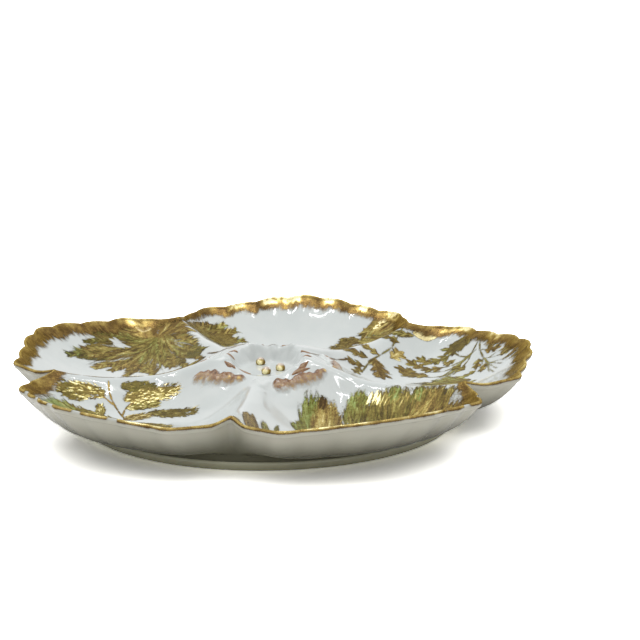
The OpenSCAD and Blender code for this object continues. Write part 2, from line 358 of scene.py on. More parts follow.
def ramp(node, fac, stops):
    """A colour ramp with the given stops of place and colour."""
    made = node("ShaderNodeValToRGB", {"Fac": fac})
    elements = made.color_ramp.elements
    while len(elements) < len(stops):
        elements.new(1)
    for element, (place, colour) in zip(elements, stops):
        element.position = place
        element.color = (*colour, 1)
    return made.outputs["Color"]


def blend(node, factor, a, b, how="MIX"):
    """A mix of two colours, each a socket or three numbers."""
    made = node("ShaderNodeMix", data_type="RGBA", blend_type=how)
    for socket, value in ((made.inputs[0], factor), (made.inputs[6], a), (made.inputs[7], b)):
        if isinstance(value, bpy.types.NodeSocket):
            made.id_data.links.new(value, socket)
        else:
            socket.default_value = (*value, 1) if isinstance(value, tuple) else value
    return made.outputs[2]


def combine(node, how, a, b):
    """Two values added, multiplied or compared."""
    return node("ShaderNodeMath", {0: a, 1: b}, operation=how).outputs[0]


def remap(node, value, before=(0, 1), after=(0, 1), **settings):
    """A value carried from one range to another."""
    limits = {"From Min": before[0], "From Max": before[1], "To Min": after[0], "To Max": after[1]}
    return node("ShaderNodeMapRange", {"Value": value, **limits}, **settings).outputs["Result"]


def layer_value(node, name):
    """What set_layer gave to the points."""
    return node("ShaderNodeAttribute", attribute_name=name).outputs["Fac"]


def grain_group():
    """Fine and broad mottling of a fired surface, with the gloss and the small bumps that go with it."""
    tree = bpy.data.node_groups.new("fired_grain", "ShaderNodeTree")
    tree.interface.new_socket("Place", in_out="INPUT", socket_type="NodeSocketVector")
    for name in ("Fine Scale", "Broad Scale", "Spread", "Rough Low", "Rough High", "Bump"):
        tree.interface.new_socket(name, in_out="INPUT", socket_type="NodeSocketFloat")
    for name in ("Fine", "Drift", "Roughness"):
        tree.interface.new_socket(name, in_out="OUTPUT", socket_type="NodeSocketFloat")
    tree.interface.new_socket("Normal", in_out="OUTPUT", socket_type="NodeSocketVector")
    given = tree.nodes.new("NodeGroupInput").outputs
    result = tree.nodes.new("NodeGroupOutput").inputs
    node = node_maker(tree)

    def noise(scale, detail):
        inputs = {"Vector": given["Place"], "Scale": given[scale], "Detail": detail}
        return node("ShaderNodeTexNoise", inputs).outputs["Fac"]

    fine, broad = noise("Fine Scale", 2), noise("Broad Scale", 3)
    mixed = combine(node, "ADD", fine, broad)
    least = combine(node, "MULTIPLY", given["Spread"], -1)
    drift = remap(node, mixed, (0.7, 1.3), (least, given["Spread"]))
    rough = remap(node, broad, (0.3, 0.7), (given["Rough Low"], given["Rough High"]))
    bumps = node("ShaderNodeBump", {"Height": mixed, "Strength": given["Bump"], "Distance": bump_height})
    made = {"Fine": fine, "Drift": drift, "Roughness": rough, "Normal": bumps.outputs["Normal"]}
    for name, source in made.items():
        tree.links.new(source, result[name])
    return tree


bump_height = 0.0001
grain_tree = grain_group()


def grain(node, fine, broad, spread, rough, bump):
    """The grain placed in a material with its own scales, spread, gloss and bumps."""
    place = node("ShaderNodeTexCoord").outputs["Object"]
    values = {"Place": place, "Fine Scale": fine, "Broad Scale": broad, "Spread": spread,
              "Rough Low": rough[0], "Rough High": rough[1], "Bump": bump}
    return node("ShaderNodeGroup", values, node_tree=grain_tree).outputs


# heights between which painted shade darkens the glaze underneath towards the foot, and the specks in it
painted_shade_from, painted_shade_full = 0.0205, 0.006
speck_scale, speck_size, speck_chance = 130, 0.05, 0.035
glaze_white, glaze_under_shaded, glaze_low_shaded = (0.59, 0.62, 0.605), (0.58, 0.56, 0.46), (0.145, 0.14, 0.09)
speck_brown = (0.16, 0.13, 0.10)
glaze_shades = [(0.2, (0.95, 0.96, 0.965)), (0.8, (1, 1, 1))]


def glaze_material(name, top_colour, under_shaded_colour, low_shaded_colour):
    """White glaze, with painted shade underneath that turns darker and greener towards the foot."""
    material, _, node, wire = new_material(name)
    spot = node("ShaderNodeTexCoord").outputs["Object"]
    side = layer_value(node, "underside")
    height = node("ShaderNodeSeparateXYZ", {"Vector": spot}).outputs["Z"]
    # painted shade: the underside's colour darkens between these heights
    low = remap(node, height, (painted_shade_from, painted_shade_full), interpolation_type="SMOOTHSTEP")
    under_shaded_colour = blend(node, low, under_shaded_colour, low_shaded_colour)
    fired = grain(node, 140, 34, 0.5, (0.04, 0.09), 0.16)
    patches = combine(node, "ADD", fired["Drift"], 0.5)
    shade = ramp(node, patches, glaze_shades)
    base = blend(node, 1.0, blend(node, side, top_colour, under_shaded_colour), shade, "MULTIPLY")
    # a few dark specks are fired into the glaze
    cells = node("ShaderNodeTexVoronoi", {"Vector": spot, "Scale": speck_scale}, feature="F1").outputs
    speck = combine(node, "LESS_THAN", cells["Distance"], speck_size)
    luck = node("ShaderNodeSeparateColor", {"Color": cells["Color"]}).outputs["Red"]
    seen = combine(node, "MULTIPLY", speck, combine(node, "GREATER_THAN", luck, 1 - speck_chance))
    wire(blend(node, seen, base, speck_brown), "Base Color")
    wire(fired["Roughness"], "Roughness")
    wire(fired["Normal"], "Normal")
    return material


white_glaze = glaze_material("white_glaze", glaze_white, glaze_under_shaded, glaze_low_shaded)
add_piece("plate_body_glazed", body_mesh(), white_glaze, "white_glaze", "plate_body")

# The foot is a low turned ring of the same clay, luted under the body with its standing face ground
# flat. Its glaze is coloured greener and warmer than the body's as painted shade.
foot_lean, foot_bevel, foot_round, foot_columns = 0.0015, 0.0008, 0.0003, 240
foot_shaded_warm, foot_shaded_low = (0.62, 0.60, 0.42), (0.58, 0.57, 0.40)


def foot_mesh():
    inner_r, stand_r = foot_seat_r - foot_w, foot_seat_r - foot_lean
    profile = [
        (foot_seat_r, foot_h), (stand_r, foot_bevel), (stand_r - foot_bevel, 0),
        (inner_r + foot_bevel, 0), (inner_r, foot_bevel), (inner_r, foot_h),
    ]
    form = bmesh.new()
    corners = [form.verts.new((r, 0, z)) for r, z in profile]
    for i, corner in enumerate(corners):
        form.edges.new((corner, corners[(i + 1) % len(corners)]))
    turn_form(form, foot_columns)
    close_form(form)
    standing = [e for e in form.edges if all(v.co.z < foot_h - 1e-6 for v in e.verts)]
    rounds = [e for e in standing if abs(e.verts[0].co.z - e.verts[1].co.z) < 1e-6
              and abs(e.verts[0].co.xy.length - e.verts[1].co.xy.length) < 1e-6]
    bmesh.ops.bevel(form, geom=rounds, offset=foot_round, offset_type="OFFSET", affect="EDGES",
                    segments=2, profile=0.5, material=-1)
    return form_mesh(form, "foot_ring_turned")


foot_glaze = glaze_material("foot_glaze", foot_shaded_warm, foot_shaded_warm, foot_shaded_low)
add_piece("foot_ring_turned", foot_mesh(), foot_glaze, "foot_glaze", "foot_ring")

# Each shell's edge is gilded: burnished gold brushed round the lip and inwards, thin and bristly where
# the brush left it, and worn off between the scallops.
gilt_lift = 0.00016


class Paint:
    """Brushwork on a flat grid in millimetres: its cover, how light and how green it is, and how far
    it stands up."""

    def __init__(self, low, high, step):
        self.low, self.step = low, step
        self.x, self.y = (np.arange(low[i], high[i] + step / 2, step) for i in (0, 1))
        self.cover, self.tone, self.green, self.rise = np.zeros((4, len(self.x), len(self.y)))

    def lay(self, window, amount, tone, green):
        """Paint over what is there."""
        cover = self.cover[window]
        full = 1 - (1 - cover) * (1 - amount)
        share = amount / np.maximum(full, 1e-6)
        self.tone[window] += (tone - self.tone[window]) * share
        self.green[window] += (green - self.green[window]) * share
        self.cover[window] = full

    def stroke(self, start, end, width, bend=0, tone=0.5, green=0, load=1, belly=0.4, tip=1, rise=0):
        """One touch of the brush, widest at belly. A tip of 0.5 is round and 1 is pointed. A load below
        0 wipes the paint off."""
        (x0, y0), (x1, y1) = start, end
        length = math.hypot(x1 - x0, y1 - y0)
        reach = width + abs(bend) * length + 2 * self.step
        window = []
        for axis, (a, b), low in ((self.x, (x0, x1), self.low[0]), (self.y, (y0, y1), self.low[1])):
            first = int((min(a, b) - reach - low) / self.step)
            last = int((max(a, b) + reach - low) / self.step) + 2
            window.append(slice(max(first, 0), max(min(last, len(axis)), 0)))
        window = tuple(window)
        u, v = self.x[window[0]][:, None] - x0, self.y[window[1]][None] - y0
        if not u.size or not v.size:
            return
        along = (u * (x1 - x0) + v * (y1 - y0)) / length**2
        off = np.abs((v * (x1 - x0) - u * (y1 - y0)) / length - 4 * bend * length * along * (1 - along))
        profile = np.where(along < belly, along / belly, (1 - along) / (1 - belly))
        half = width * np.clip(profile, 0, 1) ** np.where(along < belly, 0.5, tip)
        touch = np.clip((half - off) / self.step + 0.5, 0, 1) * ((along > 0) & (along < 1))
        if load < 0:
            self.cover[window] *= 1 + load * touch
            return
        self.lay(window, touch * load, tone, green)
        if rise:
            dome = rise * np.clip(1 - (off / np.maximum(half, 1e-6)) ** 2, 0, 1) ** 0.7 * (touch > 0)
            self.rise[window] = np.maximum(self.rise[window], dome)


def soften(layer, times=1):
    """Blurs a layer a little."""
    for _ in range(times):
        for axis in (0, 1):
            layer = (np.roll(layer, 1, axis) + 2 * layer + np.roll(layer, -1, axis)) / 4
    return layer


def clouds(shape, size, seed):
    """Smooth random patches from 0 to 1, about size cells wide."""
    draw = np.random.default_rng(seed)
    coarse = draw.random([int(n / size) + 3 for n in shape])
    spots = [np.arange(n) / size for n in shape]
    low = [s.astype(int) for s in spots]
    u, v = (ease(s - i) for s, i in zip(spots, low))
    a, b = low[0][:, None], low[1][None]
    u, v = u[:, None], v[None]
    left = coarse[a, b] * (1 - v) + coarse[a, b + 1] * v
    right = coarse[a + 1, b] * (1 - v) + coarse[a + 1, b + 1] * v
    return left * (1 - u) + right * u


# where a layer stays below this, its skin is cut away
least_kept = 0.02


def skin(name, paint, place, turn_over=False, keep="cover"):
    """Lays brushwork on the glaze as a thin skin, cut away where there is none."""
    columns, rows = paint.cover.shape
    form = bmesh.new()
    bmesh.ops.create_grid(form, x_segments=columns - 1, y_segments=rows - 1, size=1)
    mesh = form_mesh(form, name)
    x, y, _ = mesh_points(mesh)
    i = np.rint((x - x.min()) / np.ptp(x) * (columns - 1)).astype(int)
    j = np.rint((y - y.min()) / np.ptp(y) * (rows - 1)).astype(int)
    for key in ("cover", "tone", "green", "rise"):
        set_layer(mesh, key, getattr(paint, key)[i, j])
    rise = paint.rise[i, j] * mm
    move_points(mesh, lambda *_: place(paint.x[i], paint.y[j], rise))
    form = bmesh.new()
    form.from_mesh(mesh)
    layer = form.verts.layers.float[keep]
    bare = [face for face in form.faces if max(v[layer] for v in face.verts) < least_kept]
    bmesh.ops.delete(form, geom=bare, context="FACES")
    if turn_over:
        bmesh.ops.reverse_faces(form, faces=form.faces)
    form.to_mesh(mesh)
    form.free()
    return mesh


# from thin and brown to burnished, the lightest stop being the colour of painted highlights, and from
# dark olive to pale green
gold_tones = [(0.0, (0.068, 0.038, 0.016)), (0.3, (0.175, 0.108, 0.036)), (0.5, (0.32, 0.22, 0.066)),
              (0.75, (0.54, 0.42, 0.15)), (1.0, (1.0, 0.90, 0.52))]
olive_tones = [(0.0, (0.04, 0.042, 0.008)), (0.35, (0.125, 0.125, 0.02)), (0.6, (0.20, 0.265, 0.075)),
               (1.0, (0.40, 0.56, 0.27))]
gold_shine, worn_through, olive_metallic = (0.72, 0.62, 0.37), (0.66, 0.58, 0.53), 0.15


def gold_material(name, cover=(0.1, 0.9), metallic=0.85, gloss=0.5):
    """Worn burnished gold over brown and green enamel. It thins out between the two values of cover, and
    its reflections keep the gold's colour."""
    material, shader, node, wire = new_material(name)
    shader.inputs["Specular IOR Level"].default_value = gloss
    shader.inputs["Specular Tint"].default_value = (*gold_shine, 1)
    green, bare = layer_value(node, "green"), layer_value(node, "bare")
    fired = grain(node, 2600, 420, 0.16, (0.2, 0.36), 0.55)
    light = combine(node, "ADD", layer_value(node, "tone"), fired["Drift"])
    painted = blend(node, green, ramp(node, light, gold_tones), ramp(node, light, olive_tones))
    wire(blend(node, bare, painted, worn_through), "Base Color")
    metal = remap(node, green, after=(metallic, olive_metallic))
    wire(combine(node, "MULTIPLY", metal, combine(node, "SUBTRACT", 1, bare)), "Metallic")
    wire(fired["Roughness"], "Roughness")
    if cover:
        wear = remap(node, fired["Fine"], (0.25, 0.75), (-0.2, 0.2))
        wire(remap(node, combine(node, "ADD", layer_value(node, "cover"), wear), cover), "Alpha")
    wire(fired["Normal"], "Normal")
    return material


# millimetres along the rim to a degree, then the grid's cell and depth and the gap between bristles
rim_scale, rim_cell, gilt_depth, bristle_gap = 1.7, 0.3, 15, 0.3
# how far inside the lip's edge its rounding starts, and how far the grid runs over it
lip_in, lip_span = 0.5 * lip_t / mm, 4.0
# for each shell, how wide the gold is inside the lip, in millimetres, at angles from its middle
gilt_widths = [
    [(-36, 5), (-28, 6), (-20, 4.6), (-8, 4.4), (8, 4.6), (20, 4.2), (28, 3.4), (36, 3.2)],
    [(-36, 3.2), (-30, 5), (-24, 6.4), (-14, 4.8), (0, 4.8), (12, 4.8), (20, 3.8), (28, 2), (36, 1.6)],
    [(-36, 4), (-32, 7), (-28, 7), (-23, 5), (-17, 3.5), (-12, 2.5), (0, 2.5), (20, 4), (30, 5), (36, 6)],
    [(-36, 6), (-30, 4.5), (-12, 4), (8, 4.2), (18, 5), (26, 7.5), (32, 5.5), (36, 3)],
    [(-36, 1.6), (-26, 2.4), (-20, 4.5), (-13, 7.5), (-5, 6.5), (3, 4.4), (14, 4.2), (26, 4), (31, 6),
     (36, 4.5)],
]
# angles between which the gold has worn off the outer side of the lip between scallops
gilt_worn = [None, None, (-26, 16), (14, 34), None]
# angles between which a highlight is painted into the gold, and how bright
gilt_highlights = [
    [(-27, -21, 0.5), (-18, -13, 0.6), (-8, -4, 0.6), (0, 11, 0.6), (14, 20, 0.5)],
    [(-30, -24, 0.32), (31, 35, 0.5)],
    [(-10, -2, 0.5), (8, 24, 0.5)],
    [(-20, -6, 0.5), (4, 12, 0.5)],
    [(22, 30, 0.5), (10, 16, 0.4), (-35, -30, 0.5)],
]
# angles between which the gold ends in fine bristles, and how full they are
gilt_bristled = [(-36, 36), (-20, 34), (-36, -10), (16, 36), (-22, 36)]
bristle_load = [0.4, 1, 0.7, 0.7, 0.7]


def rim_point(k):
    """Places a point at x along the rim and y outwards of the lip's edge, both in millimetres."""

    def on_lip(x, y):
        angle = (first_shell + 2 * half_shell * k + x / rim_scale) % 360
        edge_r = outline_r(np.clip(x / rim_scale, -half_shell, half_shell))
        r = edge_r + np.minimum(y, -lip_in) * mm
        ax, ay = r * np.cos(np.radians(angle)), r * np.sin(np.radians(angle))
        lip = lip_point(np.clip((y + lip_in) / lip_span, 0, 1), angle)
        inner = y < -lip_in
        return np.array([np.where(inner, a, b) for a, b in zip((ax, ay, top_z(ax, ay)), lip)])

    def place(x, y, rise):
        reach, end = 0.05, half_shell * rim_scale
        here = on_lip(x, y)
        side = on_lip(np.minimum(x + reach, end), y) - on_lip(np.maximum(x - reach, -end), y)
        out = on_lip(x, np.minimum(y + reach, lip_span - lip_in)) - on_lip(x, y - reach)
        normal = np.cross(out, side, axis=0)
        normal /= np.maximum(np.linalg.norm(normal, axis=0), 1e-12)
        # the skin stands a little prouder in the tight corner of a notch
        corner_run = 1.6
        corner = 1 - ease((end - np.abs(x)) / corner_run)
        return here + normal * (gilt_lift * (1 + corner) + rise)

    return place


def gilt_paint(k):
    half_x = half_shell * rim_scale
    paint = Paint((-half_x, -gilt_depth), (half_x, lip_span - lip_in), rim_cell)
    draw = np.random.default_rng(40 + k)
    x, y = paint.x[:, None], paint.y[None]
    angles, widths = zip(*gilt_widths[k])
    width = np.interp(x / rim_scale, angles, widths)
    # the band's inner edge wanders, and its gold lies in patches
    ragged = width + 2.2 * (clouds(paint.cover.shape, 7, 50 + k) - 0.5) * (width / 5)
    ragged += 0.9 * (clouds(paint.cover.shape, 2.5, 55 + k) - 0.5)
    band = ease((y + ragged + 1.4) / 3.2)
    patches = clouds(paint.cover.shape, 9, 60 + k)
    # each scallop gets a painted highlight along its middle
    tone = 0.29 + 0.3 * (patches - 0.5) + 0.2 * ease((y + 0.8 * width) / 3) * scallop(x / rim_scale)
    paint.lay((slice(None), slice(None)), band, tone, 0)
    # the brush's bristles left fine darker ends
    low, high = [rim_scale * angle for angle in gilt_bristled[k]]
    for spot in np.arange(low, high, bristle_gap):
        reach = float(np.interp(spot / rim_scale, angles, widths))
        start = (spot, -reach * draw.uniform(0.3, 0.7))
        end = (spot + draw.uniform(-0.6, 0.6), -reach * draw.uniform(0.85, 1.5))
        paint.stroke(start, end, draw.uniform(0.16, 0.32), tone=draw.uniform(0.04, 0.45),
                     load=bristle_load[k] * draw.uniform(0.3, 1), belly=draw.uniform(0.2, 0.8))
    # a highlight is painted along the lip's crest, and shade is painted into the gold where it ends under
    # the lip
    paint.tone += 0.22 * (ease((paint.y + 1.3) / 0.7) * ease((0.4 - paint.y) / 0.5))[None]
    paint.tone -= 0.34 * ease((paint.y - 0.05) / 0.5)[None]
    # painted highlights on the gold between those angles
    for low, high, highlight_strength in gilt_highlights[k]:
        here = ease((x / rim_scale - low) / 1.5) * ease((high - x / rim_scale) / 1.5)
        highlight_mask = here * ease((y + 0.85 * width) / 1.5) * ease((0.1 - y) / 0.6)
        paint.tone += highlight_strength * highlight_mask * ease(1.6 * clouds(paint.cover.shape, 4, 65 + k) + 0.05)
    paint.cover *= 1 - ease((paint.y + 0.3 * (patches - 0.5) - 0.2) / 0.5)
    if gilt_worn[k]:
        low, high = gilt_worn[k]
        s = x / rim_scale
        where = ease((s - low) / 2 + 1) * ease((high - s) / 2 + 1)
        gap = 1 - ease((scallop(s) - 0.2) / 0.25)
        paint.cover *= 1 - where * gap * ease((y + 0.9) / 0.6)
    return paint


gilding = gold_material("gilding")
for k in range(shell_count):
    mesh = skin(f"gilt_edge_{k + 1}_brushed", gilt_paint(k), rim_point(k), turn_over=True)
    add_piece(mesh.name, mesh, gilding, "gilding", f"gilt_edge_{k + 1}")

# A knobbly coral sprig is luted to the middle's flank at each well's inner end. It is glazed with the
# body, and a mauve brown enamel is washed over its upper half and runs down between the knobs.
coral_cell, coral_margin, coral_sink = 0.25, 8, 0.00012


def on_glaze(lift):
    """Places a point on the upper surface, lifted a little, or sunk with a lift below 0."""

    def place(x, y, rise):
        x, y = x * mm, y * mm
        return x, y, top_z(x, y) + veins(x, y) + lift + rise

    return place


def coral_paint(k, start, end, sag, lumps):
    """A cluster of lumps along a line that bulges outwards by sag. Each lump has its share of the way,
    its place across and its radius, in millimetres."""
    (x0, y0), (x1, y1) = start, end
    draw = np.random.default_rng(80 + k)
    outward = math.radians(first_shell + 2 * half_shell * k)
    ox, oy = math.cos(outward), math.sin(outward)
    low, high = np.minimum(start, end) - coral_margin, np.maximum(start, end) + coral_margin
    paint = Paint(low, high, coral_cell)

    def spot(share, out):
        bulge = sag * 4 * share * (1 - share) + out
        return x0 + (x1 - x0) * share + ox * bulge, y0 + (y1 - y0) * share + oy * bulge

    # big round lumps first, then small knobs crowded on them
    for share, across, radius in lumps:
        a, b = spot(share - 0.02, across - radius), spot(share + 0.02, across + radius)
        paint.stroke(a, b, 0.9 * radius, belly=0.5, tip=0.5, rise=0.9 + 0.22 * radius,
                     tone=draw.uniform(0.5, 0.68), load=0.95)
        for i in range(int(5 * radius)):
            turn, knob = draw.uniform(0, math.tau), draw.uniform(0.4, 0.95)
            far = (radius - 0.4) * draw.uniform(0.3, 1)
            at = share + 0.05 * far * math.cos(turn)
            a, b = (spot(at, across + far * math.sin(turn) + knob * f) for f in (-1, 1))
            paint.stroke(a, b, knob, belly=0.5, tip=0.5, rise=1.0 + 0.25 * radius + knob * 0.35,
                         tone=draw.choice([0.2, 0.45, 0.6, 0.85], p=[0.25, 0.3, 0.25, 0.2]), load=0.6)
        if radius > 1.7:
            drip = spot(share + draw.uniform(-0.03, 0.03), across + draw.uniform(1.5, 1.9) * radius)
            paint.stroke(spot(share, across + 0.6 * radius), drip, 0.8, belly=0.3, tip=0.5, rise=0.35,
                         tone=0.6, load=0.35)
    # one knob at the end is touched with gold
    a, b = (spot(lumps[-1][0] + 0.03, lumps[-1][1] + f) for f in (-1.0, 0.9))
    paint.stroke(a, b, 0.75, belly=0.5, tip=0.5, rise=1.7, tone=1, load=1)
    # the wash is dark along its upper edges and thins out below
    x, y = paint.x[:, None], paint.y[None]
    share = ((x - x0) * (x1 - x0) + (y - y0) * (y1 - y0)) / ((x1 - x0) ** 2 + (y1 - y0) ** 2)
    out = (x - x0) * ox + (y - y0) * oy - sag * 4 * share * (1 - share)
    out = out - share * ((x1 - x0) * ox + (y1 - y0) * oy)
    places, across, radii = (np.array(column) for column in zip(*lumps))
    out = out - np.interp(share, places, across)
    reach = np.interp(share, places, radii)
    ragged = clouds(paint.cover.shape, 5, 90 + k) - 0.5
    paint.cover = soften(paint.cover, 3) * (1 - 0.95 * ease((out / reach + 1.0 * ragged - 0.25) / 1.3))
    paint.tone -= 0.75 * (1 - ease((out / reach + 0.62 + 0.9 * ragged) / 0.7)) * paint.tone
    if k in bare_above:
        paint.cover *= ease((out / reach + 0.7) / 0.5)
    paint.rise = soften(paint.rise, 7)
    paint.rise = np.where(paint.rise < 0.03, 0, paint.rise)
    return paint


enamel_tones = [(0.0, (0.10, 0.042, 0.018)), (0.3, (0.25, 0.125, 0.05)), (0.55, (0.31, 0.205, 0.12)),
                (0.8, (0.44, 0.29, 0.12)), (1.0, (0.70, 0.50, 0.20))]


def enamel_material(name):
    """Mauve brown enamel with a little gold in it, washed over the white glaze."""
    material, _, node, wire = new_material(name)
    fired = grain(node, 1800, 700, 0.24, (0.12, 0.26), 0.35)
    light = combine(node, "ADD", layer_value(node, "tone"), fired["Drift"])
    shown = remap(node, combine(node, "ADD", layer_value(node, "cover"), fired["Drift"]), (0.1, 0.9))
    wire(blend(node, shown, glaze_white, ramp(node, light, enamel_tones)), "Base Color")
    # only the lightest touches shine like gold
    metal = remap(node, light, (0.75, 0.95), (0, 0.7))
    wire(combine(node, "MULTIPLY", metal, shown), "Metallic")
    wire(fired["Roughness"], "Roughness")
    wire(fired["Normal"], "Normal")
    return material


coral_enamel = enamel_material("coral_enamel")
# sprigs that are coloured only on the side turned to their well
bare_above = (0, 1, 4)
# two kinds of cluster: the share of the way, the place across and the radius of each lump
even_lumps = [(0.06, 0.2, 2.3), (0.19, -0.6, 3.0), (0.34, -0.7, 3.3), (0.49, 0.3, 2.2), (0.62, 0.1, 3.0),
              (0.77, 0.3, 3.1), (0.93, -0.2, 2.5)]
tapering_lumps = [(0.12, 0, 3.9), (0.31, 0.6, 2.0), (0.45, -0.1, 2.6), (0.58, -0.5, 3.1),
                  (0.73, -0.4, 2.7), (0.87, -0.7, 2.1), (0.98, -1.0, 1.5)]
# for each sprig: its line, how far the line bulges, and its lumps
coral_rows = [
    ((8.5, 21.8), (-8.5, 21.8), 2.5, tapering_lumps),
    ((-19.2, 15), (-24.4, -2), 2, even_lumps),
    ((-24.3, -14), (-6.8, -18.6), 1.6, even_lumps),
    ((6.2, -22), (23.3, -11.8), 1.2, tapering_lumps),
    ((25.2, -1), (19.8, 15.5), 2, even_lumps),
]
for k, row in enumerate(coral_rows):
    mesh = skin(f"coral_sprig_{k + 1}_knobs", coral_paint(k, *row), on_glaze(-coral_sink), keep="rise")
    add_piece(mesh.name, mesh, coral_enamel, "coral_enamel", f"coral_sprig_{k + 1}")

# Two small leaves lie on the middle above each coral sprig, pressed with their midribs and painted
# a darker purple brown.
leaf_enamel = enamel_material("leaf_enamel")
leaf_cell, leaf_sink, leaf_half_width, midrib_half_width = 0.16, 0.0001, 1.25, 0.35
leaf_pairs = [
    [((3.5, 12.2), (6.5, 15.6)), ((-3.5, 12.4), (-5.6, 16.4))],
    [((-12, 4.5), (-16, 6.6)), ((-12.2, -0.5), (-16.6, -0.6))],
    [((-9.8, -13.2), (-14.8, -8.8)), ((-4.2, -12), (-10, -4.4))],
    [((13.8, -12.2), (16.6, -7.4)), ((11.4, -15.7), (17.7, -10.3))],
    [((12.3, 0.5), (16.5, 1.2)), ((11.6, 6.0), (15.2, 8.4))],
]
for k, pair in enumerate(leaf_pairs):
    corners = np.array([p for leaf in pair for p in leaf])
    paint = Paint(corners.min(0) - 2, corners.max(0) + 2, leaf_cell)
    for start, end in pair:
        paint.stroke(start, end, leaf_half_width, bend=0.04, tone=0.2, belly=0.45, tip=0.8, rise=0.42)
        paint.stroke(start, end, midrib_half_width, bend=0.04, tone=0.7, load=0.7, belly=0.3, rise=0.62)
    paint.rise = soften(paint.rise)
    mesh = skin(f"leaf_sprig_{k + 1}_pressed", paint, on_glaze(-leaf_sink), keep="rise")
    add_piece(mesh.name, mesh, leaf_enamel, "leaf_enamel", f"leaf_sprig_{k + 1}")

# Three domed pearls of the same clay are luted to the flat of the hollow, not quite touching. They are
# gilded all round, and their gold is uneven and worn thin on top.
pearl_r, pearl_lift = 0.00175, 0.0009
# their places from the hollow's middle, as shares of its radius
pearl_spots = [(-0.34, 0.64), (0.55, -0.16), (0.1, -0.74)]
pearl_gilding = gold_material("pearl_gilding", cover=None)


def pearl_mesh(name, px, py):
    form = bmesh.new()
    bmesh.ops.create_uvsphere(form, u_segments=48, v_segments=32, radius=pearl_r)
    for vert in form.verts:
        vert.co.z = max(vert.co.z, -pearl_lift)
    close_form(form)
    mesh = form_mesh(form, name)
    x, y, z = mesh_points(mesh)
    draw = np.random.default_rng(int(1e6 * abs(px)))
    turns = draw.random(3) * math.tau
    lump = np.sin(2.1e3 * x + turns[0]) * np.sin(1.9e3 * y + turns[1]) * np.sin(2.3e3 * z + turns[2])
    # a highlight is painted into the gold low down in front, and the gold is thin on top
    front = ease(1.4 - 1.4 * np.hypot(x / pearl_r + 0.1, z / pearl_r - 0.12)) * (y < 0)
    set_layer(mesh, "tone", 0.36 + 0.8 * front + 0.16 * lump)
    set_layer(mesh, "bare", 0.8 * ease((z / pearl_r - 0.45 + 0.3 * lump) / 0.4))
    swell = 1 + 0.05 * lump * (z > -0.9 * pearl_lift)
    move_points(mesh, lambda x, y, z: (px + x * swell, py + y * swell, hollow_h + pearl_lift + z * swell))
    return mesh


for i, (u, v) in enumerate(pearl_spots):
    mesh = pearl_mesh(f"pearl_{i + 1}_gilt", u * hollow_r, v * hollow_r - hollow_shift)
    add_piece(mesh.name, mesh, pearl_gilding, "pearl_gilding", f"pearl_{i + 1}")

# Sprays of fern, catkins, oak leaves and grass are painted on the glaze in gold, olive and green, and
# fired on with the gilding. They are too thin to be felt.
spray_cell, spray_lift = 0.28, 0.00009
lip_gap, lip_fade = 0.0012, 0.001


